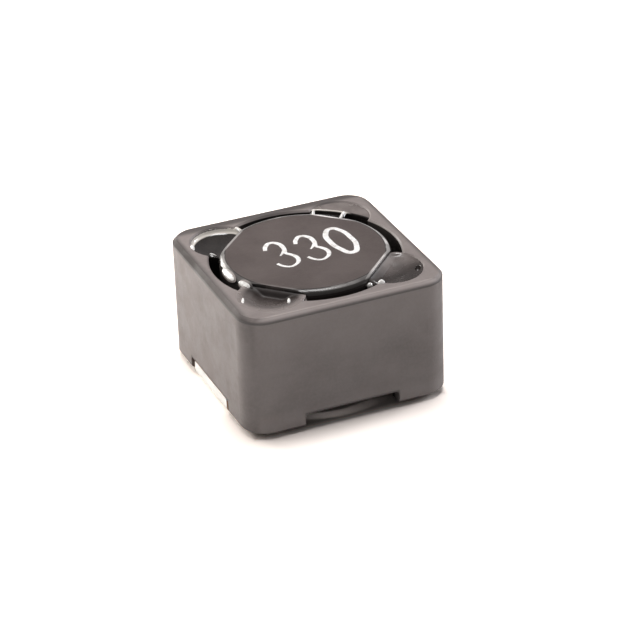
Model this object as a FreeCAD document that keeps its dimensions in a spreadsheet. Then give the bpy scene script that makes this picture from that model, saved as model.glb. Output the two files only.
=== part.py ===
import FreeCAD, Part
import Sketcher
import math
import os

# A shielded surface-mount power inductor of the 12 mm class.
# Origin: the middle of the footprint, on the plane of the two solder pads. +Z is up, away from the board.
# The two terminals are on the -X and +X sides; the printed value reads along +X.

doc = FreeCAD.newDocument("shielded_inductor")
vector = FreeCAD.Vector


# Driving sizes, in millimetres and degrees.
sizes = doc.addObject("Spreadsheet::Sheet", "sizes")
driving_sizes = [
    # the ring core
    ("shield_width", 12.3),
    ("shield_depth", 12.3),
    ("shield_height", 7.2),
    ("shield_corner", 1.5),
    ("shield_edge", 0.22),
    ("shield_foot_edge", 0.12),
    ("bore_wall", 0.7),
    ("bore_edge", 0.1),
    ("lobe_wall", 0.75),
    ("lobe_radius", 1.8),
    ("notch_width", 5.7),
    ("notch_height", 0.75),
    ("notch_corner", 0.2),
    # the drum core
    ("drum_gap", 0.58),
    ("drum_rise", 0.2),
    ("drum_edge", 0.36),
    ("drum_foot_edge", 0.15),
    ("drum_flat_cut", 0.4),
    ("flange_thickness", 1.3),
    ("window_depth", 2.27),
    # the winding
    ("wire_diameter", 0.5),
    ("winding_clearance", 0.06),
    ("winding_recess", 0.84),
    ("short_turns", 2),
    ("lead_bend", 0.5),
    ("lead_drop_offset", 0.55),
    ("lead_turn_margin", 0.75),
    ("lead_tail_margin", 0.55),
    ("lead_standoff", 0.12),
    # the terminals
    ("terminal_side_gap", 0.4),
    ("terminal_thickness", 0.3),
    ("terminal_reach", 2.4),
    ("terminal_inset", 0.05),
    ("terminal_bend", 0.12),
    ("tab_gap", 0.12),
    ("tab_corner", 0.15),
    ("pad_corner", 0.4),
    # the solder joints
    ("solder_margin", 0.85),
    ("solder_clearance", 0.02),
    ("solder_cover", 0.12),
    ("solder_drum_gap", 0.11),
    ("solder_round", 0.2),
    # the adhesive beads
    ("bead_clearance", 0.02),
    ("bead_depth", 1.6),
    ("bead_rim", 0.05),
    ("bead_dish_radius", 3.0),
    ("bead_dish_offset", 0.36),
    ("bead_drop_back_left", 0.36),
    ("bead_drop_back_right", 0.32),
    ("bead_drop_front_right", 0.26),
    ("bead_drop_front_left", 0.18),
    ("bead_back_right_angle", 41.5),
]

# Sizes that follow from the driving ones: every fit is worked out here, once.
derived_sizes = [
    ("shield_bottom", "=terminal_thickness"),
    ("shield_top", "=shield_bottom + shield_height"),
    ("bore_radius", "=min(shield_width; shield_depth) / 2 - bore_wall"),
    ("lobe_across", "=shield_width / 2 - lobe_wall - lobe_radius"),
    ("lobe_up", "=shield_depth / 2 - lobe_wall - lobe_radius"),
    ("notch_top", "=shield_bottom + notch_height"),
    ("drum_radius", "=bore_radius - drum_gap"),
    ("drum_bottom", "=terminal_thickness"),
    ("drum_top", "=shield_top + drum_rise"),
    ("drum_flat", "=drum_radius - drum_flat_cut"),
    ("drum_corner_reach", "=drum_flat * sqrt(2)"),
    ("post_radius", "=drum_radius - window_depth"),
    ("wire_radius", "=wire_diameter / 2"),
    ("layer_pitch", "=wire_diameter * sqrt(3) / 2"),
    ("winding_bottom", "=drum_bottom + flange_thickness + winding_clearance"),
    ("winding_room", "=drum_top - flange_thickness - winding_clearance - winding_bottom"),
    ("winding_inner", "=post_radius + winding_clearance"),
    ("outer_layer", "=drum_radius - winding_recess - wire_radius"),
    ("middle_layer", "=outer_layer - layer_pitch"),
    ("terminal_width", "=notch_width - 2 * terminal_side_gap"),
    ("terminal_outer", "=shield_width / 2 - terminal_inset"),
    ("terminal_inner", "=terminal_outer - terminal_reach"),
    ("tab_inner", "=terminal_outer - terminal_thickness"),
    ("tab_top", "=notch_top - tab_gap"),
    ("lead_height", "=terminal_thickness + solder_clearance + wire_radius"),
    ("lead_place", "=tab_inner - lead_standoff - wire_radius"),
    ("lead_turn_place", "=notch_width / 2 - lead_turn_margin"),
    ("lead_tail", "=terminal_width / 2 - lead_tail_margin"),
    ("solder_outer", "=tab_inner - solder_clearance"),
    ("solder_length", "=terminal_width - 2 * solder_margin"),
    ("solder_inner", "=drum_radius + solder_drum_gap"),
    ("solder_shoulder", "=lead_place - wire_radius"),
    ("solder_bottom", "=terminal_thickness + solder_clearance"),
    ("solder_top", "=lead_height + wire_radius + solder_cover"),
    ("channel_radius", "=wire_radius + solder_clearance"),
    ("bead_bottom", "=drum_top - bead_depth"),
    ("bead_top", "=shield_top - bead_rim"),
    ("bead_radius", "=lobe_radius - bead_clearance"),
]
for row, (name, value) in enumerate(driving_sizes + derived_sizes, start=1):
    sizes.set("A" + str(row), name)
    sizes.set("B" + str(row), str(value))
    sizes.setAlias("B" + str(row), name)
doc.recompute()


def size(name):
    return float(getattr(sizes, name))


def new_body(name):
    body = doc.addObject("PartDesign::Body", name)
    body.Label = name
    return body


def new_sketch(body, name, role):
    plane = next(item for item in body.Origin.OriginFeatures if item.Role == role)
    sketch = body.newObject("Sketcher::SketchObject", name)
    sketch.AttachmentSupport = [(plane, "")]
    sketch.MapMode = "FlatFace"
    return sketch


def dimension(sketch, kind, name, formula, *places):
    """Adds one named dimension to a sketch and ties it to the size sheet."""
    index = sketch.addConstraint(Sketcher.Constraint(kind, *places))
    sketch.renameConstraint(index, name)
    sketch.setExpression("Constraints." + name, formula)


def closed_outline(sketch, points):
    """Draws a closed outline of straight lines, with its level and upright ones held so. Returns its first line."""
    first = sketch.GeometryCount
    count = len(points)
    for index, (across, up) in enumerate(points):
        next_across, next_up = points[(index + 1) % count]
        start = vector(across, up, 0)
        end = vector(next_across, next_up, 0)
        sketch.addGeometry(Part.LineSegment(start, end), False)
    for index in range(count):
        following = first + (index + 1) % count
        sketch.addConstraint(Sketcher.Constraint("Coincident", first + index, 2, following, 1))
    for index, (across, up) in enumerate(points):
        next_across, next_up = points[(index + 1) % count]
        if abs(up - next_up) < 1e-6:
            sketch.addConstraint(Sketcher.Constraint("Horizontal", first + index))
        elif abs(across - next_across) < 1e-6:
            sketch.addConstraint(Sketcher.Constraint("Vertical", first + index))
    return first


def circle(sketch, radius, across=0.0, up=0.0):
    """Draws a circle of a size in the sheet. Returns its number in the sketch."""
    index = sketch.addGeometry(Part.Circle(vector(across, up, 0), vector(0, 0, 1), size(radius)), False)
    dimension(sketch, "Radius", "radius_" + str(index), "sizes." + radius, index, size(radius))
    return index


def cut_through(body, name, sketch):
    """Cuts a sketch through the whole body, both ways from its plane."""
    pocket = body.newObject("PartDesign::Pocket", name)
    pocket.Profile = sketch
    pocket.Type = "ThroughAll"
    pocket.Midplane = True
    volume_before = pocket.BaseFeature.Shape.Volume
    doc.recompute()
    if pocket.Shape.Volume >= volume_before:
        raise ValueError(name + " cuts nothing")
    return pocket


def soften(body, kind, name, property_name, formula, chosen):
    """Rounds or chamfers the chosen edges of the body's last feature."""
    base = body.Tip
    names = ["Edge" + str(index) for index, edge in enumerate(base.Shape.Edges, start=1) if chosen(edge)]
    if not names:
        raise ValueError(name + " finds no edge")
    feature = body.newObject("PartDesign::" + kind, name)
    feature.Base = (base, names)
    feature.setExpression(property_name, formula)
    doc.recompute()
    return feature


def lies_at_height(edge, height):
    return edge.BoundBox.ZLength < 1e-6 and abs(edge.BoundBox.ZMin - height) < 1e-6


def runs_along(edge, axis):
    lengths = (edge.BoundBox.XLength, edge.BoundBox.YLength, edge.BoundBox.ZLength)
    return all(length < 1e-6 for index, length in enumerate(lengths) if index != axis)


def near(value, wanted):
    return abs(value - wanted) < 1e-6


# The ring core: a pressed ferrite square with rounded corners, softened at its top and bottom rims.
shield = new_body("shield_core")
half_width = size("shield_width") / 2
half_depth = size("shield_depth") / 2
sketch = new_sketch(shield, "shield_plan", "XY_Plane")
sketch.AttachmentOffset = FreeCAD.Placement(vector(0, 0, size("shield_bottom")), FreeCAD.Rotation())
sketch.setExpression("AttachmentOffset.Base.z", "sizes.shield_bottom")
corners = [(-half_width, -half_depth), (half_width, -half_depth), (half_width, half_depth), (-half_width, half_depth)]
closed_outline(sketch, corners)
sketch.addConstraint(Sketcher.Constraint("Symmetric", 0, 1, 1, 2, -1, 1))
dimension(sketch, "DistanceX", "width", "sizes.shield_width", 0, 1, 0, 2, size("shield_width"))
dimension(sketch, "DistanceY", "depth", "sizes.shield_depth", 1, 1, 1, 2, size("shield_depth"))
pad = shield.newObject("PartDesign::Pad", "shield_block")
pad.Profile = sketch
pad.setExpression("Length", "sizes.shield_height")
doc.recompute()
soften(shield, "Fillet", "shield_corners", "Radius", "sizes.shield_corner", lambda edge: runs_along(edge, 2))
soften(shield, "Chamfer", "shield_top_rim", "Size", "sizes.shield_edge",
       lambda edge: lies_at_height(edge, size("shield_top")))
soften(shield, "Chamfer", "shield_foot_rim", "Size", "sizes.shield_foot_edge",
       lambda edge: lies_at_height(edge, size("shield_bottom")))

# A shallow notch at the foot of each of the four sides.
half_notch = size("notch_width") / 2
notch_top = size("notch_top")
for role, name in (("XZ_Plane", "notches_front_and_back"), ("YZ_Plane", "notches_left_and_right")):
    sketch = new_sketch(shield, name + "_plan", role)
    closed_outline(sketch, [(-half_notch, 0), (half_notch, 0), (half_notch, notch_top), (-half_notch, notch_top)])
    sketch.addConstraint(Sketcher.Constraint("Symmetric", 0, 1, 0, 2, -1, 1))
    dimension(sketch, "DistanceX", "width", "sizes.notch_width", 0, 1, 0, 2, size("notch_width"))
    dimension(sketch, "DistanceY", "top", "sizes.notch_top", 1, 1, 1, 2, notch_top)
    cut_through(shield, name, sketch)
soften(shield, "Fillet", "notch_corners", "Radius", "sizes.notch_corner",
       lambda edge: lies_at_height(edge, notch_top)
       and (runs_along(edge, 1) and near(abs(edge.CenterOfMass.x), half_notch)
            or runs_along(edge, 0) and near(abs(edge.CenterOfMass.y), half_notch)))

# The bore for the drum, and the four corner lobes that take the adhesive.
sketch = new_sketch(shield, "bore_plan", "XY_Plane")
index = circle(sketch, "bore_radius")
sketch.addConstraint(Sketcher.Constraint("Coincident", index, 3, -1, 1))
cut_through(shield, "bore", sketch)
corner_signs = [(-1, 1), (1, 1), (1, -1), (-1, -1)]
lobe_across = size("lobe_across")
lobe_up = size("lobe_up")
for sign_x, sign_y in corner_signs:
    place = ("front" if sign_y < 0 else "back") + ("_left" if sign_x < 0 else "_right")
    sketch = new_sketch(shield, "lobe_plan_" + place, "XY_Plane")
    index = circle(sketch, "lobe_radius", sign_x * lobe_across, sign_y * lobe_up)
    dimension(sketch, "DistanceX", "across", str(sign_x) + " * sizes.lobe_across", -1, 1, index, 3,
              sign_x * lobe_across)
    dimension(sketch, "DistanceY", "up", str(sign_y) + " * sizes.lobe_up", -1, 1, index, 3, sign_y * lobe_up)
    cut_through(shield, "lobe_" + place, sketch)
soften(shield, "Chamfer", "bore_top_rim", "Size", "sizes.bore_edge",
       lambda edge: lies_at_height(edge, size("shield_top")) and hasattr(edge.Curve, "Radius")
       and (near(edge.Curve.Radius, size("bore_radius")) or near(edge.Curve.Radius, size("lobe_radius"))))

# The drum core: two flanges and a round post in one pressed piece. Each flange has a flat towards each lobe.
drum = new_body("drum_core")
drum_radius = size("drum_radius")
post_radius = size("post_radius")
drum_bottom = size("drum_bottom")
drum_top = size("drum_top")
lower_flange_top = drum_bottom + size("flange_thickness")
upper_flange_bottom = drum_top - size("flange_thickness")
sketch = new_sketch(drum, "drum_section", "XZ_Plane")
closed_outline(sketch, [
    (0, drum_bottom),
    (drum_radius, drum_bottom),
    (drum_radius, lower_flange_top),
    (post_radius, lower_flange_top),
    (post_radius, upper_flange_bottom),
    (drum_radius, upper_flange_bottom),
    (drum_radius, drum_top),
    (0, drum_top),
])
sketch.addConstraint(Sketcher.Constraint("PointOnObject", 0, 1, -2))
dimension(sketch, "DistanceY", "bottom", "sizes.drum_bottom", -1, 1, 0, 1, drum_bottom)
dimension(sketch, "DistanceY", "top", "sizes.drum_top", -1, 1, 7, 1, drum_top)
dimension(sketch, "DistanceX", "lower_radius", "sizes.drum_radius", -1, 1, 1, 1, drum_radius)
dimension(sketch, "DistanceX", "upper_radius", "sizes.drum_radius", -1, 1, 6, 1, drum_radius)
dimension(sketch, "DistanceX", "post", "sizes.post_radius", -1, 1, 3, 1, post_radius)
dimension(sketch, "DistanceY", "lower_flange", "sizes.flange_thickness", 1, 1, 1, 2, size("flange_thickness"))
dimension(sketch, "DistanceY", "upper_flange", "sizes.flange_thickness", 5, 1, 5, 2, size("flange_thickness"))
revolution = drum.newObject("PartDesign::Revolution", "drum_turned")
revolution.Profile = sketch
revolution.ReferenceAxis = (sketch, ["V_Axis"])
revolution.Angle = 360
doc.recompute()
soften(drum, "Fillet", "drum_top_rim", "Radius", "sizes.drum_edge", lambda edge: lies_at_height(edge, drum_top))
soften(drum, "Chamfer", "drum_foot_rim", "Size", "sizes.drum_foot_edge",
       lambda edge: lies_at_height(edge, drum_bottom))
# The flats are ground after the rim is rounded, so the top face stays almost a full disc.
sketch = new_sketch(drum, "flats_plan", "XY_Plane")
corner_reach = size("drum_corner_reach")
closed_outline(sketch, [(corner_reach, 0), (0, corner_reach), (-corner_reach, 0), (0, -corner_reach)])
for line, axis in ((0, -1), (1, -2), (2, -1), (3, -2)):
    sketch.addConstraint(Sketcher.Constraint("PointOnObject", line, 1, axis))
dimension(sketch, "DistanceX", "right", "sizes.drum_corner_reach", -1, 1, 0, 1, corner_reach)
dimension(sketch, "DistanceY", "back", "sizes.drum_corner_reach", -1, 1, 1, 1, corner_reach)
dimension(sketch, "DistanceX", "left", "-sizes.drum_corner_reach", -1, 1, 2, 1, -corner_reach)
dimension(sketch, "DistanceY", "front", "-sizes.drum_corner_reach", -1, 1, 3, 1, -corner_reach)
index = circle(sketch, "shield_width")
sketch.addConstraint(Sketcher.Constraint("Coincident", index, 3, -1, 1))
cut_through(drum, "drum_flats", sketch)


# A terminal: tinned copper strip, flat under the drum and turned up into the side notch of the ring.
# Both are the same pressed piece, drawn for the -X side, and the right one is turned half round.
def make_terminal(name, turn):
    body = new_body(name)
    inner = size("terminal_inner")
    outer = size("terminal_outer")
    tab_inner = size("tab_inner")
    thickness = size("terminal_thickness")
    tab_top = size("tab_top")
    half_length = size("terminal_width") / 2
    section = new_sketch(body, name + "_section", "XZ_Plane")
    closed_outline(section, [
        (-inner, 0),
        (-outer, 0),
        (-outer, tab_top),
        (-tab_inner, tab_top),
        (-tab_inner, thickness),
        (-inner, thickness),
    ])
    section.addConstraint(Sketcher.Constraint("PointOnObject", 0, 1, -1))
    dimension(section, "DistanceX", "inner", "-sizes.terminal_inner", -1, 1, 0, 1, -inner)
    dimension(section, "DistanceX", "outer", "-sizes.terminal_outer", -1, 1, 1, 1, -outer)
    dimension(section, "DistanceY", "tab", "sizes.tab_top", 1, 1, 1, 2, tab_top)
    dimension(section, "DistanceX", "tab_sheet", "sizes.terminal_thickness", 2, 1, 2, 2, thickness)
    dimension(section, "DistanceY", "pad_sheet", "sizes.terminal_thickness", -1, 1, 5, 1, thickness)
    strip = body.newObject("PartDesign::Pad", name + "_strip")
    strip.Profile = section
    strip.Midplane = True
    strip.setExpression("Length", "sizes.terminal_width")
    doc.recompute()
    soften(body, "Fillet", name + "_inside_bend", "Radius", "sizes.terminal_bend",
           lambda edge: runs_along(edge, 1) and near(edge.CenterOfMass.x, -tab_inner)
           and near(edge.CenterOfMass.z, thickness))
    soften(body, "Fillet", name + "_outside_bend", "Radius", "sizes.terminal_bend + sizes.terminal_thickness",
           lambda edge: runs_along(edge, 1) and near(edge.CenterOfMass.x, -outer) and near(edge.CenterOfMass.z, 0))
    soften(body, "Fillet", name + "_pad_corners", "Radius", "sizes.pad_corner",
           lambda edge: runs_along(edge, 2) and near(edge.CenterOfMass.x, -inner))
    soften(body, "Fillet", name + "_tab_corners", "Radius", "sizes.tab_corner",
           lambda edge: runs_along(edge, 0) and near(edge.CenterOfMass.z, tab_top)
           and near(abs(edge.CenterOfMass.y), half_length))
    body.Placement = FreeCAD.Placement(vector(0, 0, 0), FreeCAD.Rotation(vector(0, 0, 1), turn))


# A solder joint: a mound between the lead, the pad and the tab, with a channel where the lead lies in it.
def make_solder_joint(name, turn):
    body = new_body(name)
    outer = size("solder_outer")
    inner = size("solder_inner")
    bottom = size("solder_bottom")
    top = size("solder_top")
    shoulder = size("solder_shoulder")
    lead_place = size("lead_place")
    section = new_sketch(body, name + "_section", "XZ_Plane")
    closed_outline(section, [(-inner, bottom), (-outer, bottom), (-outer, top), (-shoulder, top)])
    dimension(section, "DistanceX", "inner", "-sizes.solder_inner", -1, 1, 0, 1, -inner)
    dimension(section, "DistanceX", "outer", "-sizes.solder_outer", -1, 1, 1, 1, -outer)
    dimension(section, "DistanceX", "shoulder", "-sizes.solder_shoulder", -1, 1, 3, 1, -shoulder)
    dimension(section, "DistanceY", "bottom", "sizes.solder_bottom", -1, 1, 0, 1, bottom)
    dimension(section, "DistanceY", "top", "sizes.solder_top", -1, 1, 2, 1, top)
    mound = body.newObject("PartDesign::Pad", name + "_mound")
    mound.Profile = section
    mound.Midplane = True
    mound.setExpression("Length", "sizes.solder_length")
    doc.recompute()
    soften(body, "Fillet", name + "_root", "Radius", "sizes.terminal_bend - sizes.solder_clearance",
           lambda edge: runs_along(edge, 1) and near(edge.CenterOfMass.x, -outer)
           and near(edge.CenterOfMass.z, bottom))
    soften(body, "Fillet", name + "_crown", "Radius", "sizes.solder_round",
           lambda edge: runs_along(edge, 1) and near(edge.CenterOfMass.x, -shoulder))
    channel = new_sketch(body, name + "_channel_plan", "XZ_Plane")
    index = circle(channel, "channel_radius", -lead_place, size("lead_height"))
    dimension(channel, "DistanceX", "across", "-sizes.lead_place", -1, 1, index, 3, -lead_place)
    dimension(channel, "DistanceY", "up", "sizes.lead_height", -1, 1, index, 3, size("lead_height"))
    cut_through(body, name + "_channel", channel)
    body.Placement = FreeCAD.Placement(vector(0, 0, 0), FreeCAD.Rotation(vector(0, 0, 1), turn))


for side, turn in (("left", 0), ("right", 180)):
    make_terminal("terminal_" + side, turn)
    make_solder_joint("solder_joint_" + side, turn)


# The winding: one length of enamelled wire. Its turns lie side by side on the post in three layers.
def coil_section():
    """The section of the wound turns: flat where they are hidden, and one blunt ridge for each turn that shows."""
    wire = size("wire_diameter")
    radius = size("wire_radius")
    bottom = size("winding_bottom")
    inner = size("winding_inner")
    all_turns = int(size("winding_room") / wire)
    outer_turns = all_turns - int(size("short_turns"))
    top = bottom + all_turns * wire
    points = [vector(inner, 0, bottom)]
    for turn in range(all_turns):
        reach = size("outer_layer") if turn < outer_turns else size("middle_layer")
        middle = bottom + (turn + 0.5) * wire
        for angle in (-90, -30, 30, 90):
            slope = math.radians(angle)
            points.append(vector(reach + radius * math.cos(slope), 0, middle + radius * math.sin(slope)))
    points.append(vector(inner, 0, top))
    corners = [points[0]]
    for point in points[1:]:
        if (point - corners[-1]).Length > 1e-6:
            corners.append(point)
    return Part.Face(Part.makePolygon(corners + [corners[0]]))


def bent_path(points, bends):
    """Straight runs joined by tangent arcs. bends gives the radius at each point between the two ends."""
    edges = []
    start = points[0]
    for before, point, after, bend in zip(points, points[1:], points[2:], bends):
        inward = (before - point).normalize()
        outward = (after - point).normalize()
        half_turn = (math.pi - inward.getAngle(outward)) / 2
        cut_back = bend * math.tan(half_turn)
        arc_start = point + inward * cut_back
        arc_end = point + outward * cut_back
        bisector = (inward + outward).normalize()
        arc_middle = point + bisector * (bend / math.cos(half_turn) - bend)
        edges.append(Part.LineSegment(start, arc_start).toShape())
        edges.append(Part.Arc(arc_start, arc_middle, arc_end).toShape())
        start = arc_end
    edges.append(Part.LineSegment(start, points[-1]).toShape())
    return Part.Wire(edges)


def make_lead():
    """A lead leaves the coil along a tangent, drops through a lobe and lies down on its terminal's pad."""
    radius = size("wire_radius")
    coil_reach = size("middle_layer")
    drop_x = -size("lobe_across") - size("lead_drop_offset")
    drop_y = size("lobe_up")
    drop_angle = math.atan2(drop_y, drop_x)
    leave_angle = drop_angle - math.acos(coil_reach / math.hypot(drop_x, drop_y))
    leave_height = size("winding_bottom") + radius + size("winding_clearance")
    low = size("lead_height")
    points = [
        vector(coil_reach * math.cos(leave_angle), coil_reach * math.sin(leave_angle), leave_height),
        vector(drop_x, drop_y, leave_height),
        vector(drop_x, drop_y, low),
        vector(-size("lead_place"), size("lead_turn_place"), low),
        vector(-size("lead_place"), -size("lead_tail"), low),
    ]
    path = bent_path(points, [size("lead_bend")] * 3)
    heading = (points[1] - points[0]).normalize()
    ring = Part.Wire(Part.Circle(points[0], heading, radius).toShape())
    lead = path.makePipeShell([ring], True, False)
    wanted = math.pi * radius ** 2 * path.Length
    if abs(lead.Volume - wanted) > 0.001 * wanted:
        raise ValueError("the lead's volume is not its section times its length")
    return lead


coil = coil_section().revolve(vector(0, 0, 0), vector(0, 0, 1), 360)
left_lead = make_lead()
right_lead = left_lead.copy()
right_lead.rotate(vector(0, 0, 0), vector(0, 0, 1), 180)
winding = doc.addObject("Part::Feature", "winding")
winding.Label = "winding"
winding.Shape = coil.fuse([left_lead, right_lead])


# The adhesive beads: each fills the top of one lobe from the ring to the drum, with a dished surface.
def make_bead(place, sign_x, sign_y):
    name = "adhesive_" + place
    fill = doc.addObject("Part::Cylinder", name + "_fill")
    fill.setExpression("Radius", "sizes.bead_radius")
    fill.setExpression("Height", "sizes.bead_top - sizes.bead_bottom")
    fill.setExpression("Placement.Base.x", str(sign_x) + " * sizes.lobe_across")
    fill.setExpression("Placement.Base.y", str(sign_y) + " * sizes.lobe_up")
    fill.setExpression("Placement.Base.z", "sizes.bead_bottom")
    flange = doc.addObject("Part::Cylinder", name + "_flange_round")
    flange.setExpression("Radius", "sizes.drum_radius + sizes.bead_clearance")
    flange.setExpression("Height", "sizes.drum_top")
    flats = doc.addObject("Part::Box", name + "_flange_flats")
    for edge in ("Length", "Width"):
        flats.setExpression(edge, "2 * (sizes.drum_flat + sizes.bead_clearance)")
    flats.setExpression("Height", "sizes.drum_top")
    flats.Placement.Rotation = FreeCAD.Rotation(vector(0, 0, 1), 45)
    flats.setExpression("Placement.Base.y", "-sqrt(2) * (sizes.drum_flat + sizes.bead_clearance)")
    drum_space = doc.addObject("Part::Common", name + "_drum_space")
    drum_space.Base = flange
    drum_space.Tool = flats
    dish = doc.addObject("Part::Cylinder", name + "_dish")
    dish.setExpression("Radius", "sizes.bead_dish_radius")
    dish.setExpression("Height", "4 * sizes.lobe_radius")
    dish.Placement.Rotation = FreeCAD.Rotation(vector(0, 0, 1), vector(-sign_y, sign_x, 0))
    dish_across = "%d * (sizes.lobe_across + sizes.bead_dish_offset) + %d * sqrt(2) * sizes.lobe_radius"
    dish_up = "%d * (sizes.lobe_up + sizes.bead_dish_offset) - %d * sqrt(2) * sizes.lobe_radius"
    dish.setExpression("Placement.Base.x", dish_across % (sign_x, sign_y))
    dish.setExpression("Placement.Base.y", dish_up % (sign_y, sign_x))
    dish.setExpression("Placement.Base.z", "sizes.shield_top - sizes.bead_drop_" + place + " + sizes.bead_dish_radius")
    tools = [drum_space, dish]
    if place == "back_right":
        # this bead ran only part of the way round its lobe
        bare = doc.addObject("Part::Box", name + "_bare")
        bare.setExpression("Length", "sizes.shield_width")
        bare.setExpression("Width", "sizes.shield_width")
        bare.setExpression("Height", "sizes.drum_top")
        bare.Placement.Rotation = FreeCAD.Rotation(vector(0, 0, 1), size("bead_back_right_angle") - 90)
        bare.setExpression("Placement.Rotation.Angle", "sizes.bead_back_right_angle - 90")
        tools.append(bare)
    removed = doc.addObject("Part::MultiFuse", name + "_removed")
    removed.Shapes = tools
    bead = doc.addObject("Part::Cut", name)
    bead.Label = name
    bead.Base = fill
    bead.Tool = removed


for sign_x, sign_y in corner_signs:
    make_bead(("front" if sign_y < 0 else "back") + ("_left" if sign_x < 0 else "_right"), sign_x, sign_y)
doc.recompute()

# Every feature and every finished piece is looked at before a file is written.
for item in doc.Objects:
    if "Invalid" in item.State or "Error" in item.State:
        raise ValueError(item.Name + " did not build: " + str(item.State))
piece_names = ["shield_core", "drum_core", "winding"]
piece_names += ["terminal_left", "terminal_right", "solder_joint_left", "solder_joint_right"]
piece_names += ["adhesive_back_left", "adhesive_back_right", "adhesive_front_right", "adhesive_front_left"]
pieces = [doc.getObject(name) for name in piece_names]
for piece in pieces:
    if piece.Shape.isNull() or not piece.Shape.isValid() or len(piece.Shape.Solids) != 1:
        raise ValueError(piece.Label + " is not one sound solid")
os.makedirs("parts", exist_ok=True)
for piece in pieces:
    piece.Shape.exportStep("parts/" + piece.Label + ".step")
    print(piece.Label, round(piece.Shape.Volume, 3), piece.Shape.BoundBox)
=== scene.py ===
import math

import bmesh
import bpy
from mathutils import Matrix, Vector


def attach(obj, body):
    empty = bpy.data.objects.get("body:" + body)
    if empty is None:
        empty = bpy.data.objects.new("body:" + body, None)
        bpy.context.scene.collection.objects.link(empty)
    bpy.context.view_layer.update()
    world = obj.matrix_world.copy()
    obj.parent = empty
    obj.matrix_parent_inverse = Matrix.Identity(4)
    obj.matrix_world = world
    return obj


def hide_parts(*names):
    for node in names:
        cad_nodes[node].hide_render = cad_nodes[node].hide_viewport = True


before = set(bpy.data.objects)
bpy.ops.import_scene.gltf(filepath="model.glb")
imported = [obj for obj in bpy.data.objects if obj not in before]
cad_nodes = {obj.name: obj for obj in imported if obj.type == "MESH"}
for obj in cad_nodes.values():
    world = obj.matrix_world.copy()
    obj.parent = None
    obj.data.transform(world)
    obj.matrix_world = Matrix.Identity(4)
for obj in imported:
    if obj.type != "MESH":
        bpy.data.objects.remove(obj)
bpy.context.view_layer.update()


# Drum core. A pressed and sintered ferrite spool whose two flanges are ground flat.
# Its top flange shows in the middle of the part, darker than the ring. The slope ground round
# its rim stays dark and shiny, and a pale highlight is painted along the edges of the top.
MM = 0.001
drum_top = 7.7
drum_dark = (0.081, 0.063, 0.059)
drum_light = (0.103, 0.082, 0.077)
drum_powder = (0.114, 0.092, 0.086)
ground_slope = (0.042, 0.037, 0.035)
painted_gap_shade = (0.042, 0.034, 0.031)
painted_rim_highlight = (0.80, 0.76, 0.74)


def blank_finish(name, roughness, metal=0.0, gloss=0.5):
    finish = bpy.data.materials.new(name)
    finish.use_nodes = True
    shader = finish.node_tree.nodes["Principled BSDF"]
    shader.inputs["Roughness"].default_value = roughness
    shader.inputs["Metallic"].default_value = metal
    shader.inputs["Specular IOR Level"].default_value = gloss
    return finish, shader


def feed(socket, value):
    """Sets a socket to a number or a colour, or wires it to what another node gives."""
    if isinstance(value, bpy.types.NodeSocket):
        socket.id_data.links.new(value, socket)
    elif isinstance(value, tuple):
        socket.default_value = (*value, 1.0)
    else:
        socket.default_value = value


def add_node(beside, kind, **settings):
    """Adds a node to the finish that the given node or socket is part of."""
    node = beside.id_data.nodes.new(kind)
    for name, value in settings.items():
        setattr(node, name, value)
    return node


def mottle(shader, size, detail=3.0, harshness=0.5, stretch=(1, 1, 1)):
    """Uneven patches, about as wide as the size in millimetres. Most of them lie between 0.3 and 0.7."""
    place = add_node(shader, "ShaderNodeTexCoord")
    turn = add_node(shader, "ShaderNodeMapping")
    turn.inputs["Scale"].default_value = stretch
    feed(turn.inputs["Vector"], place.outputs["Object"])
    noise = add_node(shader, "ShaderNodeTexNoise")
    feed(noise.inputs["Vector"], turn.outputs["Vector"])
    feed(noise.inputs["Scale"], 1.0 / (size * MM))
    feed(noise.inputs["Detail"], detail)
    feed(noise.inputs["Roughness"], harshness)
    return noise.outputs["Fac"]


def across(shader):
    """How far each point lies along X, Y and Z, in millimetres."""
    place = add_node(shader, "ShaderNodeTexCoord")
    enlarge = add_node(shader, "ShaderNodeVectorMath", operation="SCALE")
    feed(enlarge.inputs["Vector"], place.outputs["Object"])
    feed(enlarge.inputs["Scale"], 1.0 / MM)
    split = add_node(shader, "ShaderNodeSeparateXYZ")
    feed(split.inputs["Vector"], enlarge.outputs["Vector"])
    return [split.outputs[axis] for axis in "XYZ"]


def ramp(value, start, end, low=0.0, high=1.0):
    """Goes smoothly from low to high as the value goes from start to end."""
    step = add_node(value, "ShaderNodeMapRange", interpolation_type="SMOOTHSTEP")
    feed(step.inputs["Value"], value)
    for name, number in (("From Min", start), ("From Max", end), ("To Min", low), ("To Max", high)):
        feed(step.inputs[name], number)
    return step.outputs["Result"]


def reckon(operation, first, second=0.0):
    sum_node = add_node(first, "ShaderNodeMath", operation=operation)
    feed(sum_node.inputs[0], first)
    feed(sum_node.inputs[1], second)
    return sum_node.outputs["Value"]


def times(product, *factors):
    for factor in factors:
        product = reckon("MULTIPLY", product, factor)
    return product


def larger(first, second):
    return reckon("MAXIMUM", first, second)


def away(place):
    """How far off the middle plane, whichever side."""
    return reckon("ABSOLUTE", place)


def from_axis(x, y):
    return reckon("SQRT", reckon("ADD", times(x, x), times(y, y)))


def tint(amount, base, other):
    """The base colour, turned to the other one as the amount goes to 1."""
    mix = add_node(amount, "ShaderNodeMix", data_type="RGBA")
    feed(mix.inputs["Factor"], amount)
    feed(mix.inputs[6], base)
    feed(mix.inputs[7], other)
    return mix.outputs[2]


def blend(amount, base, other):
    """Does for numbers what tint does for colours."""
    mix = add_node(amount, "ShaderNodeMix", data_type="FLOAT")
    feed(mix.inputs["Factor"], amount)
    feed(mix.inputs[2], base)
    feed(mix.inputs[3], other)
    return mix.outputs[0]


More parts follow.
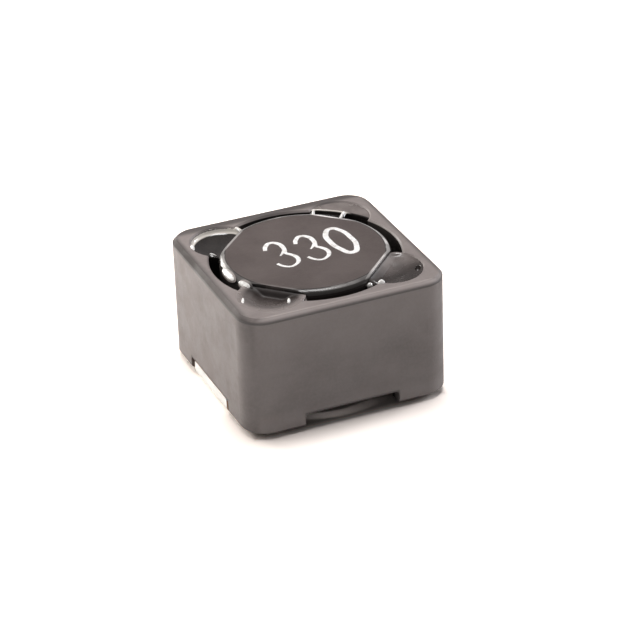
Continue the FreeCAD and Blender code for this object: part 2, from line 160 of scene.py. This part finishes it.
def relief(shader, height, depth, strength=1.0):
    """Raises and sinks the surface by the depth in millimetres."""
    bump = add_node(shader, "ShaderNodeBump")
    feed(bump.inputs["Strength"], strength)
    feed(bump.inputs["Distance"], depth * MM)
    feed(bump.inputs["Height"], height)
    feed(shader.inputs["Normal"], bump.outputs["Normal"])


def dress(names, finish):
    for name in names:
        for slot in cad_nodes[name].material_slots:
            slot.material = finish


# A patch of colour fades in or out between two places, which are in millimetres here and below.
drum_finish, shader = blank_finish("ground_drum_ferrite", 0.42, gloss=0.35)
x, y, z = across(shader)
cloud = ramp(mottle(shader, 2.4), 0.35, 0.68)
powder = ramp(mottle(shader, 0.16, 2.0, 0.6), 0.3, 0.72)
colour = tint(cloud, drum_dark, drum_light)
colour = tint(times(powder, 0.3), colour, drum_powder)
on_slope = times(ramp(from_axis(x, y), 4.46, 4.54), ramp(z, 7.3, 7.4))
ground_face = tint(on_slope, colour, ground_slope)
# Painted shade: below the rim, where the drum stands in the gap inside the ring, it is coloured nearly black.
below_rim = ramp(z, 7.36, 7.28)
colour = tint(below_rim, ground_face, painted_gap_shade)
foot_face = ramp(z, 0.34, 0.305)
colour = tint(foot_face, colour, ground_face)
# Painted highlight: a pale line along the round and flat edges of the top, brighter on the right, weaker
# towards the front and at the left front.
round_edge = times(ramp(z, 7.58, 7.62), ramp(z, drum_top, 7.69), ramp(y, -4.4, -2.5, 0.35, 1.0))
slant = reckon("ADD", away(x), away(y))
flat_edge = times(ramp(slant, 6.10, 6.17), ramp(z, 7.55, 7.64))
rim_highlight_strength = times(ramp(mottle(shader, 1.6, 2.0), 0.36, 0.62, 0.35, 1.0), ramp(x, -3, 3, 0.35, 1.0))
left_front = times(ramp(x, -1, -3, 0.0, 0.6), ramp(y, 0.5, -1.5))
rim_highlight_strength = reckon("SUBTRACT", rim_highlight_strength, times(rim_highlight_strength, left_front))
colour = tint(times(larger(round_edge, flat_edge), rim_highlight_strength), colour, painted_rim_highlight)
feed(shader.inputs["Base Color"], colour)
gloss_patch = ramp(mottle(shader, 0.9, 4.0), 0.3, 0.7, 0.38, 0.5)
shiny_slope = blend(on_slope, gloss_patch, 0.16)
feed(shader.inputs["Roughness"], blend(below_rim, shiny_slope, 0.9))
relief(shader, mottle(shader, 0.09, 4.0, 0.65), 0.012, 0.4)
dress(["drum_core"], drum_finish)


# Winding. Round enamelled copper wire laid in close layers on the drum's post.
# Both ends leave the coil through a pocket of the ring and run down to the terminals.
wire_finish, shader = blank_finish("enamelled_copper_wire", 0.28, metal=1.0)
enamel_cloud = ramp(mottle(shader, 0.7), 0.3, 0.7)
feed(shader.inputs["Base Color"], tint(enamel_cloud, (0.52, 0.16, 0.045), (0.66, 0.25, 0.085)))
feed(shader.inputs["Roughness"], ramp(mottle(shader, 0.3, 2.0), 0.3, 0.7, 0.22, 0.36))
shader.inputs["Coat Weight"].default_value = 0.8
shader.inputs["Coat Roughness"].default_value = 0.12
relief(shader, mottle(shader, 0.25, 2.0), 0.008, 0.4)
dress(["winding"], wire_finish)


# Terminals. Two strips of tinned copper, cut from sheet, bent up at their outer ends and glued
# flat under the drum. The tin is pale and a little cloudy. The cut edges show the bare copper,
# and the tin wears thin on the outside of the bend.
cloudy_tin = (0.92, 0.89, 0.86)
bright_tin = (0.99, 0.97, 0.94)
bare_copper = (0.62, 0.27, 0.12)
thin_tin = (0.80, 0.50, 0.30)

tin_finish, shader = blank_finish("bright_tin_plate", 0.45, metal=0.35)
x, y, z = across(shader)
tin_cloud = ramp(mottle(shader, 0.8, 4.0), 0.3, 0.7)
colour = tint(tin_cloud, cloudy_tin, bright_tin)
cut_edge = larger(ramp(away(y), 2.435, 2.447), ramp(z, 0.915, 0.928))
colour = tint(times(cut_edge, 0.75), colour, bare_copper)
low_bend = times(ramp(z, 0.14, 0.04), ramp(away(x), 5.9, 6.0))
colour = tint(times(low_bend, 0.6), colour, thin_tin)
feed(shader.inputs["Base Color"], colour)
feed(shader.inputs["Roughness"], ramp(mottle(shader, 0.5), 0.3, 0.7, 0.40, 0.52))
relief(shader, mottle(shader, 0.3), 0.006, 0.15)
dress(["terminal_left", "terminal_right"], tin_finish)


# Solder joints. A fillet of soft solder ties each end of the wire to the inside of its terminal.
# It is laid by hand with an iron, after the wire is pressed against the strip.
solder_finish, shader = blank_finish("soft_solder", 0.24, metal=1.0)
solder_cloud = ramp(mottle(shader, 0.4), 0.3, 0.7)
feed(shader.inputs["Base Color"], tint(solder_cloud, (0.62, 0.62, 0.61), (0.80, 0.80, 0.79)))
feed(shader.inputs["Roughness"], ramp(mottle(shader, 0.2), 0.3, 0.7, 0.18, 0.34))
relief(shader, mottle(shader, 0.15), 0.01, 0.5)
dress(["solder_joint_left", "solder_joint_right"], solder_finish)


# Ring core. A square ferrite frame pressed from powder, with a round bore, a pocket at each corner
# of the bore and a low slot under each side. Tumbling after firing greys the outside. Painted light
# lightens the front face. Painted shade darkens the far and left edges of the top, the ring above
# the slots, a line under the top rim, and the walls of the bore and slots.
ring_dark = (0.186, 0.157, 0.149)
ring_light = (0.218, 0.185, 0.176)
ring_powder = (0.262, 0.224, 0.214)
ring_top_grey = (0.285, 0.243, 0.233)
painted_front_light = (0.43, 0.37, 0.355)
tumbling_streak = (0.09, 0.072, 0.067)
far_edge_shade = (0.05, 0.043, 0.041)
left_edge_shade = (0.026, 0.022, 0.021)
slot_shade = (0.045, 0.037, 0.035)
edge_line_shade = (0.05, 0.044, 0.042)
painted_bore_shade = (0.030, 0.024, 0.022)

ring_finish, shader = blank_finish("tumbled_ring_ferrite", 0.5, gloss=0.45)
x, y, z = across(shader)
outside = ramp(larger(away(x), away(y)), 5.5, 5.66)
top_face = ramp(z, 7.36, 7.44)
cloud = ramp(mottle(shader, 3.0), 0.34, 0.68)
powder = ramp(mottle(shader, 0.18, 2.0, 0.6), 0.3, 0.72)
colour = tint(cloud, ring_dark, ring_light)
colour = tint(times(powder, 0.25), colour, ring_powder)
streaks = ramp(mottle(shader, 0.5, 3.0, 0.6, stretch=(0.25, 1.6, 1)), 0.5, 0.72)
colour = tint(times(streaks, ramp(z, 7.36, 7.44, 0.07, 0.24)), colour, tumbling_streak)
colour = tint(times(top_face, 0.3), colour, ring_top_grey)
far_edge = larger(ramp(x, 5.65, 6.0), ramp(y, 5.1, 5.6))
colour = tint(times(far_edge, top_face, 0.8), colour, far_edge_shade)
left_edge = times(ramp(x, -5.55, -6.0), ramp(z, 7.26, 7.33), ramp(y, -3, 4, 0.75, 1.0))
colour = tint(times(left_edge, 0.85), colour, left_edge_shade)
# Painted light on the front face: a pale highlight along its top edge, lighter towards the top where the
# overhead light grazes it, and lighter at its foot.
front_face = ramp(y, -5.75, -6.0)
front_edge = ramp(z, 7.33, 7.42, 0.0, 0.8)
colour = tint(times(front_face, front_edge), colour, painted_front_light)
upper_front = times(ramp(z, 3.5, 7.0, 0.04, 0.28), ramp(z, 7.40, 7.30))
foot_front = ramp(z, 1.7, 0.7, 0.0, 0.24)
colour = tint(times(front_face, reckon("ADD", upper_front, foot_front)), colour, painted_front_light)
slot_lip = times(ramp(reckon("MINIMUM", away(x), away(y)), 2.95, 2.80), ramp(z, 1.20, 1.08))
colour = tint(times(slot_lip, 0.6), colour, slot_shade)
edge_line = times(ramp(z, 7.14, 7.22), ramp(z, 7.36, 7.29), outside, 0.66)
colour = tint(edge_line, colour, edge_line_shade)
# Painted shade: everything but the outside faces and the top, which means the bore, the slots and the bottom,
# is coloured nearly black.
colour = tint(larger(outside, top_face), painted_bore_shade, colour)
feed(shader.inputs["Base Color"], colour)
dullness = ramp(mottle(shader, 1.1, 4.0), 0.3, 0.7, 0.40, 0.60)
feed(shader.inputs["Roughness"], reckon("ADD", dullness, times(left_edge, 0.35)))
relief(shader, mottle(shader, 0.1, 4.0, 0.65), 0.014, 0.5)
dress(["shield_core"], ring_finish)


# Adhesive. Dark epoxy dropped into the four pockets holds the ring on the drum, and climbs the walls
# before it sets. The back left bead sinks to a glossy bowl and the back right one lies low beside
# a ledge. The front ones stand higher, one with a burst bubble, and have a thin dusty skin, which is
# left dark as painted shade near the drum on the left and towards the front on the right.
pocket_centre = 3.6
drum_flat_face = 4.45
bead_floor = 6.1
ledge_edge = 5.72
ledge_top = 7.44
wide_ledge_dust = (0.105, 0.088, 0.083)
rim_dust = (0.235, 0.20, 0.19)
painted_wall_highlight = (0.80, 0.74, 0.68)

epoxy_finish, shader = blank_finish("cured_black_epoxy", 0.1, gloss=0.5)
shader.inputs["IOR"].default_value = 1.6
x, y, z = across(shader)
reach = from_axis(x, y)
slant = reckon("ADD", away(x), away(y))
in_pocket = from_axis(reckon("SUBTRACT", away(x), pocket_centre), reckon("SUBTRACT", away(y), pocket_centre))
to_right = ramp(x, 0.5, 1.0)
on_ledge = times(ramp(reach, ledge_edge + 0.02, ledge_edge + 0.10), to_right)
dusty = larger(ramp(y, 1.0, -1.0), on_ledge)
epoxy_cloud = ramp(mottle(shader, 0.8), 0.3, 0.7)
clean = tint(epoxy_cloud, (0.022, 0.018, 0.017), (0.036, 0.030, 0.028))
thick = tint(epoxy_cloud, (0.026, 0.019, 0.017), (0.042, 0.032, 0.030))
thin_film = tint(epoxy_cloud, (0.155, 0.130, 0.122), (0.215, 0.182, 0.172))
# Dusty skin and painted shade: the front beads stay dark near the drum on the left and towards the front on
# the right.
left_dust_and_shade = tint(ramp(slant, 6.7, 7.9), thick, wide_ledge_dust)
left_dust_and_shade = tint(ramp(in_pocket, 1.35, 1.85), left_dust_and_shade, rim_dust)
right_dust_and_shade = tint(ramp(y, -4.3, -2.3), thick, thin_film)
colour = tint(dusty, clean, tint(to_right, left_dust_and_shade, right_dust_and_shade))
# Painted highlight: a pale band along the top of the far walls of the two back pockets.
left_wall_highlight = times(ramp(in_pocket, 1.60, 1.68), ramp(y, 4.0, 4.6), ramp(x, 0.5, -0.5))
right_wall_highlight = times(ramp(reach, 5.52, 5.60), ramp(reach, 5.82, 5.75), to_right)
right_wall_highlight = times(right_wall_highlight, ramp(x, 4.5, 4.1), ramp(y, 3.0, 3.4), ramp(z, 7.34, 7.40))
feed(shader.inputs["Base Color"], tint(larger(left_wall_highlight, right_wall_highlight), colour, painted_wall_highlight))
bright_skin = ramp(mottle(shader, 1.2), 0.3, 0.7, 0.07, 0.16)
beside_flat = ramp(slant, 6.9, 6.6, 0.14, 0.5)
feed(shader.inputs["Roughness"], reckon("ADD", bright_skin, times(dusty, beside_flat)))
relief(shader, mottle(shader, 0.6, 2.0), 0.02, 0.35)

# How steeply a bead's surface falls, in degrees, ring by ring from its rim to its low spot.
deep_bowl = (62, 30, 16, 11, 9, 8, 7, 6, 5, 4, 3, 2)
brimming = (2, 3, 4, 6, 8, 12, 18, 26, 32, 28, 16, 4)
shallow = (6, 4, 2)
half_sunk = (34, 20, 12, 9, 9, 11, 14, 17, 15, 10, 6, 2)


def lump(place, half_sizes, turn=0.0, lean=0.0):
    """An egg of epoxy, in millimetres, turned about Z and leant over, in degrees."""
    bpy.ops.mesh.primitive_uv_sphere_add(segments=40, ring_count=20, radius=1.0, location=place,
                                         scale=half_sizes,
                                         rotation=(0.0, math.radians(lean), math.radians(turn)))
    egg = bpy.context.object
    bpy.ops.object.transform_apply(location=True, rotation=True, scale=True)
    return egg


def round_place(azimuth, radius, height):
    turn = math.radians(azimuth)
    return (radius * math.cos(turn), radius * math.sin(turn), height)


def run_together(parts, name, grain, keep, finish, bubbles=()):
    """Joins the lumps, lets them flow into one skin, opens its bubbles and brings it to real size.

    The grain is how fine the skin is, in millimetres, and keep the share of its faces that stays.
    """
    bpy.ops.object.select_all(action="DESELECT")
    for piece in parts:
        piece.select_set(True)
    bpy.context.view_layer.objects.active = parts[0]
    bpy.ops.object.join()
    blob = bpy.context.object
    blob.name = name
    skin = blob.modifiers.new("skin", "REMESH")
    skin.mode = "VOXEL"
    skin.voxel_size = grain
    bpy.ops.object.modifier_apply(modifier="skin")
    for bubble in bubbles:
        burst = blob.modifiers.new("burst", "BOOLEAN")
        burst.operation = "DIFFERENCE"
        burst.object = bubble
        bpy.ops.object.modifier_apply(modifier="burst")
        bpy.data.objects.remove(bubble)
    settle = blob.modifiers.new("settle", "SMOOTH")
    settle.factor = 0.5
    settle.iterations = 6
    thin = blob.modifiers.new("thin", "DECIMATE")
    thin.ratio = keep
    for stage in ("settle", "thin"):
        bpy.ops.object.modifier_apply(modifier=stage)
    bpy.ops.object.mode_set(mode="EDIT")
    bpy.ops.mesh.select_all(action="SELECT")
    bpy.ops.transform.resize(value=(MM, MM, MM), center_override=(0, 0, 0))
    bpy.ops.mesh.normals_make_consistent(inside=False)
    bpy.ops.object.mode_set(mode="OBJECT")
    bpy.ops.object.transform_apply(location=True, rotation=True, scale=True)
    bpy.ops.object.shade_smooth()
    blob.data.materials.clear()
    blob.data.materials.append(finish)
    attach(blob, "root")
    return blob


def ledge(side_x, side_y, radius):
    """The outer part of a pocket, filled nearly to the top, that ends in a round step off the drum."""
    middle = (side_x * pocket_centre, side_y * pocket_centre, (ledge_top + bead_floor) / 2)
    bpy.ops.mesh.primitive_cylinder_add(vertices=128, radius=radius, depth=ledge_top - bead_floor,
                                        location=middle)
    crescent = bpy.context.object
    bpy.ops.mesh.primitive_cylinder_add(vertices=192, radius=ledge_edge, depth=4.0,
                                        location=(0, 0, bead_floor))
    bore = bpy.context.object
    cut = crescent.modifiers.new("cut", "BOOLEAN")
    cut.operation = "DIFFERENCE"
    cut.object = bore
    bpy.context.view_layer.objects.active = crescent
    bpy.ops.object.modifier_apply(modifier="cut")
    bpy.data.objects.remove(bore)
    bpy.ops.object.select_all(action="DESELECT")
    crescent.select_set(True)
    bpy.ops.object.transform_apply(location=True, rotation=True, scale=True)
    return crescent


def pour_bead(name, sides, radius, level, slopes, low_spot, flat_share, lumps, open_past=None, bubbles=()):
    """A round plug cut off by the drum's flat, sunk in rings to a bowl, with lumps where it bulges.

    The level is the height of its rim. The bowl is deepest low_spot off the drum's axis, and flat_share
    of it is flat. A bead that is open past an azimuth stops there, and has a ledge behind it.
    """
    side_x, side_y = sides
    bpy.ops.object.select_all(action="DESELECT")
    bpy.ops.mesh.primitive_circle_add(vertices=128, radius=radius, fill_type="NGON",
                                      location=(side_x * pocket_centre, side_y * pocket_centre, bead_floor))
    plug = bpy.context.object
    bpy.ops.object.transform_apply(location=True, rotation=True, scale=True)
    bpy.ops.object.mode_set(mode="EDIT")
    bpy.ops.mesh.select_all(action="SELECT")
    outward = Vector((side_x, side_y, 0)).normalized()
    bpy.ops.mesh.bisect(plane_co=outward * drum_flat_face, plane_no=outward, use_fill=False, clear_inner=True)
    if open_past is not None:
        turn = math.radians(open_past)
        bpy.ops.mesh.select_all(action="SELECT")
        bpy.ops.mesh.bisect(plane_co=(0, 0, 0), plane_no=(-math.sin(turn), math.cos(turn), 0),
                            use_fill=False, clear_inner=True)
    corners = [v.co.copy() for v in bmesh.from_edit_mesh(plug.data).verts]
    middle = sum(corners, Vector()) / len(corners)
    middle += outward * (low_spot - middle.dot(outward))
    longest = max((c - middle).length for c in corners)
    bpy.ops.mesh.select_all(action="SELECT")
    bpy.ops.mesh.extrude_region_move(TRANSFORM_OT_translate={"value": (0, 0, level - bead_floor)})
    step = (1.0 - flat_share) / len(slopes)
    share = 1.0
    for slope in slopes:
        smaller = share - step
        fall = step * longest * math.tan(math.radians(slope))
        bpy.ops.mesh.extrude_region_move(TRANSFORM_OT_translate={"value": (0, 0, -fall)})
        bpy.ops.transform.resize(value=(smaller / share, smaller / share, 1), center_override=middle)
        share = smaller
    bpy.ops.mesh.select_all(action="SELECT")
    bpy.ops.mesh.normals_make_consistent(inside=False)
    bpy.ops.object.mode_set(mode="OBJECT")
    parts = [plug]
    if open_past is not None:
        parts.append(ledge(side_x, side_y, radius))
    for where in lumps:
        parts.append(lump(*where))
    holes = [lump(*where) for where in bubbles]
    bead = run_together(parts, "poured_" + name, grain=0.035, keep=0.25, finish=epoxy_finish, bubbles=holes)
    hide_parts(name)


pour_bead("adhesive_back_left", (-1, 1), radius=1.83, level=7.47, slopes=deep_bowl, low_spot=5.6,
          flat_share=0.25, lumps=[
              (round_place(114.0, 5.1, 7.2), (0.5, 0.17, 0.22), 114.0, -25.0),
              (round_place(153.5, 5.1, 7.2), (0.5, 0.17, 0.22), 153.5, -25.0),
          ])
pour_bead("adhesive_back_right", (1, 1), radius=1.83, level=7.18, slopes=shallow, low_spot=5.3,
          flat_share=0.6, open_past=42.5, lumps=[
              (round_place(62.5, 5.25, 7.2), (0.6, 0.18, 0.2), 62.5, -20.0),
              (round_place(43.5, 5.25, 7.2), (0.6, 0.18, 0.2), 43.5, -20.0),
          ])
pour_bead("adhesive_front_right", (1, -1), radius=1.83, level=7.48, slopes=half_sunk, low_spot=5.2,
          flat_share=0.2, bubbles=[((5.05, -4.1, 7.4), (0.17, 0.30, 0.3), -22.5)], lumps=[
              (round_place(-65.0, 5.12, 7.3), (0.5, 0.2, 0.2), -65.0, 10.0),
              (round_place(-69.0, 4.75, 7.2), (0.2, 0.16, 0.16), -69.0),
              (round_place(-24.5, 5.12, 7.3), (0.5, 0.2, 0.2), -24.5),
          ])
pour_bead("adhesive_front_left", (-1, -1), radius=1.93, level=7.505, slopes=brimming, low_spot=4.8,
          flat_share=0.25, lumps=[
              (round_place(-114.5, 5.05, 7.2), (0.4, 0.2, 0.2), -114.5),
          ])


# Drips. Two drops of the same epoxy that fell on the drum while its pockets were filled.
# They ran over the ground rim on its left side and set there.
rim_lean = -35.0
drips = []
for azimuth, half_length in ((185.0, 0.85), (203.5, 0.55)):
    drips.append(lump(round_place(azimuth, 4.82, 7.49), (0.07, half_length, 0.3), azimuth, rim_lean))
run_together(drips, "rim_drips", grain=0.02, keep=0.35, finish=epoxy_finish)


# Glint beads. Small beads coloured near-white are painted highlights that stand in for glints of light on
# the glossy epoxy: two on the drips and one beside them on the drum's rim, two in the gap at the front,
# two glints and a rim in the left pockets, and the rest where the back pockets end.
glint_bead_finish, shader = blank_finish("painted_glint_white", 0.06, gloss=0.8)
glint_cloud = ramp(mottle(shader, 0.2, 2.0), 0.3, 0.7)
feed(shader.inputs["Base Color"], tint(glint_cloud, (0.74, 0.70, 0.67), (0.96, 0.94, 0.92)))
drops = (
    ((1.80, -4.82, 7.34), (0.16, 0.13, 0.20)),
    ((2.40, -5.03, 7.40), (0.22, 0.18, 0.28)),
    ((-5.37, 3.72, 7.44), (0.12, 0.34, 0.12), -12.0),
    ((-5.22, -3.52, 7.49), (0.08, 0.34, 0.055), -22.5),
    ((-2.95, -4.60, 7.46), (0.09, 0.30, 0.07), -22.5),
    (round_place(185.0, 4.865, 7.525), (0.05, 0.72, 0.20), 185.0, rim_lean),
    (round_place(203.0, 4.865, 7.525), (0.05, 0.46, 0.18), 203.0, rim_lean),
    (round_place(169.5, 4.775, 7.55), (0.04, 0.30, 0.12), 169.5, rim_lean),
    (round_place(62.0, 5.3, 7.34), (0.42, 0.10, 0.12), 62.0, -20.0),
    (round_place(43.5, 5.3, 7.36), (0.44, 0.10, 0.12), 43.5, -20.0),
    (round_place(115.0, 5.15, 7.34), (0.30, 0.07, 0.10), 115.0, -30.0),
    (round_place(152.0, 5.2, 7.36), (0.26, 0.07, 0.10), 152.0, -30.0),
)
glint_eggs = [lump(*drop) for drop in drops]
run_together(glint_eggs, "painted_glint_beads", grain=0.022, keep=0.4, finish=glint_bead_finish)


# Value marking. The inductance code 330, printed in white ink on the drum's ground top.
# The pen lays a thin raised line whose ends are blunt and whose curves thin out at the bottom.
ink_height = 0.012
pen_width = 0.47
widest_line = 0.34

ink, shader = blank_finish("white_marking_ink", 0.5)
ink_cover = ramp(mottle(shader, 0.35, 4.0, 0.6), 0.25, 0.6)
feed(shader.inputs["Base Color"], tint(ink_cover, (0.56, 0.52, 0.50), (0.88, 0.86, 0.845)))
relief(shader, mottle(shader, 0.12, 3.0), 0.006, 0.4)


def pen_line(points, left_end, closed=False):
    """A flattened round line through (x, y, share of the pen's width) points, in millimetres."""
    bpy.ops.object.select_all(action="DESELECT")
    bpy.ops.curve.primitive_bezier_curve_add(location=(0, 0, 0))
    line = bpy.context.object
    line.data.dimensions = "3D"
    line.data.twist_mode = "Z_UP"
    line.data.resolution_u = 8
    line.data.bevel_resolution = 3
    line.data.bevel_depth = pen_width * MM
    line.data.use_fill_caps = True
    spline = line.data.splines[0]
    spline.bezier_points.add(len(points) - 2)
    spline.use_cyclic_u = closed
    for mark, (across_x, up_y, width) in zip(spline.bezier_points, points):
        mark.co = ((left_end + across_x) * MM, up_y * MM, 0)
        mark.handle_left_type = mark.handle_right_type = "AUTO"
        mark.radius = width
    bpy.ops.object.convert(target="MESH")
    bpy.ops.object.mode_set(mode="EDIT")
    bpy.ops.mesh.select_all(action="SELECT")
    bpy.ops.transform.resize(value=(1, 1, 2 * ink_height / widest_line), center_override=(0, 0, 0))
    bpy.ops.transform.translate(value=(0, 0, drum_top * MM))
    bpy.ops.object.mode_set(mode="OBJECT")
    return bpy.context.object


three = [(0.12, 1.02, 0.24), (0.34, 1.5, 0.28), (0.74, 1.8, 0.25), (1.1, 1.55, 0.29), (1.2, 1.05, 0.3),
         (1.12, 0.55, 0.27), (1.06, 0.28, 0.23), (1.24, 0.0, 0.25), (1.42, -0.4, 0.28), (1.36, -0.88, 0.26),
         (1.08, -1.22, 0.2), (0.72, -1.36, 0.17), (0.36, -1.14, 0.19), (0.14, -0.72, 0.21)]
spur = [(1.12, 0.62, 0.24), (0.9, 0.34, 0.18), (0.66, 0.08, 0.1)]
nought = [(0.88, 1.9, 0.30), (1.3, 1.4, 0.32), (1.45, 0.4, 0.32), (1.36, -0.6, 0.32), (0.82, -1.34, 0.36),
          (0.34, -0.6, 0.34), (0.18, 0.4, 0.36), (0.34, 1.4, 0.34)]
strokes = []
for left_end in (-2.14, -0.28):
    strokes.append(pen_line(three, left_end))
    strokes.append(pen_line(spur, left_end))
strokes.append(pen_line(nought, 1.52, closed=True))
bpy.ops.object.select_all(action="DESELECT")
for stroke in strokes:
    stroke.select_set(True)
bpy.context.view_layer.objects.active = strokes[0]
bpy.ops.object.join()
marking = bpy.context.object
marking.name = "value_marking"
bpy.ops.object.transform_apply(location=True, rotation=True, scale=True)
bpy.ops.object.mode_set(mode="EDIT")
bpy.ops.mesh.select_all(action="SELECT")
bpy.ops.mesh.normals_make_consistent(inside=False)
bpy.ops.object.mode_set(mode="OBJECT")
bpy.ops.object.shade_smooth_by_angle(angle=math.radians(60))
marking.data.materials.clear()
marking.data.materials.append(ink)
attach(marking, "root")


# Card. A sheet of white card under the part, a hair below the solder pads. The camera sees it
# as pure white but for the part's own soft shadow. A faint painted shadow darkens it out to about
# 12 mm from the middle, and a darker painted shadow lies right under the part.
card_size = 3.0
card_drop = 0.00002
plain_card = (0.78, 0.77, 0.76)
white_card = (1.48, 1.355, 1.29)
painted_shadow_tail = (1.36, 1.245, 1.175)
painted_under_shadow = (0.62, 0.55, 0.52)

bpy.ops.object.select_all(action="DESELECT")
bpy.ops.mesh.primitive_plane_add(size=card_size, location=(0, 0, -card_drop))
floor = bpy.context.object
floor.name = "card_floor"
card, shader = blank_finish("white_card", 0.9, gloss=0.1)
path = add_node(shader, "ShaderNodeLightPath")
x, y = across(shader)[:2]
out = larger(away(x), away(y))
# Painted shadow: the colour seen by the camera dims right under the part and fades back to white by 12 mm
# out.
open_card = tint(ramp(out, 6.0, 12.0), painted_shadow_tail, white_card)
seen_card = tint(ramp(out, 5.4, 6.1), painted_under_shadow, open_card)
feed(shader.inputs["Base Color"], tint(path.outputs["Is Camera Ray"], plain_card, seen_card))
floor.data.materials.append(card)


# Studio air. The camera sees it pure white all round. It lights the part only dimly, so that the
# shade under the rims stays deep, and a tenth of its white shows in what is glossy.
dim_air = 0.14
mirrored_share = 0.1
sky = bpy.context.scene.world or bpy.data.worlds.new("studio_air")
bpy.context.scene.world = sky
sky.use_nodes = True
air = sky.node_tree.nodes["Background"]
sky_path = add_node(air, "ShaderNodeLightPath")
mirrored_sky = times(sky_path.outputs["Is Glossy Ray"], mirrored_share)
seen_sky = larger(sky_path.outputs["Is Camera Ray"], mirrored_sky)
feed(air.inputs["Color"], (1.0, 1.0, 1.0))
feed(air.inputs["Strength"], blend(seen_sky, dim_air, 1.0))


# Softboxes. One large lamp hangs overhead, and a small warm window close on the left draws the
# light along that side. A weak lamp beside it and a cool window on the right fill the shade.
part_middle = Vector((0, 0, 0.004))
warm_light = (1.0, 0.977, 0.93)
cool_light = (0.93, 0.96, 1.0)


def softbox(name, direction, distance, size, power, colour=(1.0, 1.0, 1.0)):
    lamp = bpy.data.lights.new(name, "AREA")
    lamp.size = size
    lamp.energy = power
    lamp.color = colour
    holder = bpy.data.objects.new(name, lamp)
    bpy.context.scene.collection.objects.link(holder)
    toward = Vector(direction).normalized()
    holder.location = toward * distance + part_middle
    holder.rotation_mode = "QUATERNION"
    holder.rotation_quaternion = toward.to_track_quat("Z", "Y")
    holder.visible_camera = False


softbox("overhead_softbox", (0.10, 0.10, 0.98), distance=0.6, size=0.28, power=3.05)
softbox("left_window", (-0.50, 0.83, 0.20), distance=0.055, size=0.036, power=0.0405, colour=warm_light)
softbox("left_lamp", (-0.84, 0.33, 0.43), distance=0.055, size=0.020, power=0.0030, colour=warm_light)
softbox("right_window", (0.9, 0.1, 0.3), distance=0.3, size=0.08, power=0.36, colour=cool_light)


# Camera. It stands in front of the part, to its left and above it, at the angle of the photograph,
# about 155 mm off and with a long lens, so that the sides lean together only a little.
camera_right = (0.91670, -0.39832, -0.03169)
camera_up = (0.21724, 0.43025, 0.87618)
camera_back = (-0.33537, -0.81008, 0.48094)
camera_place = (-51.302 * MM, -125.724 * MM, 77.729 * MM)

view = bpy.data.cameras.new("photo_view")
view.lens = 152.88
view.sensor_width = 36.0
view.clip_start = 0.005
view.clip_end = 10.0
camera = bpy.data.objects.new("photo_view", view)
bpy.context.scene.collection.objects.link(camera)
camera.matrix_world = Matrix((
    (*camera_right, 0), (*camera_up, 0), (*camera_back, 0), (*camera_place, 1))).transposed()
bpy.context.scene.camera = camera
bpy.context.scene.view_settings.view_transform = "Standard"
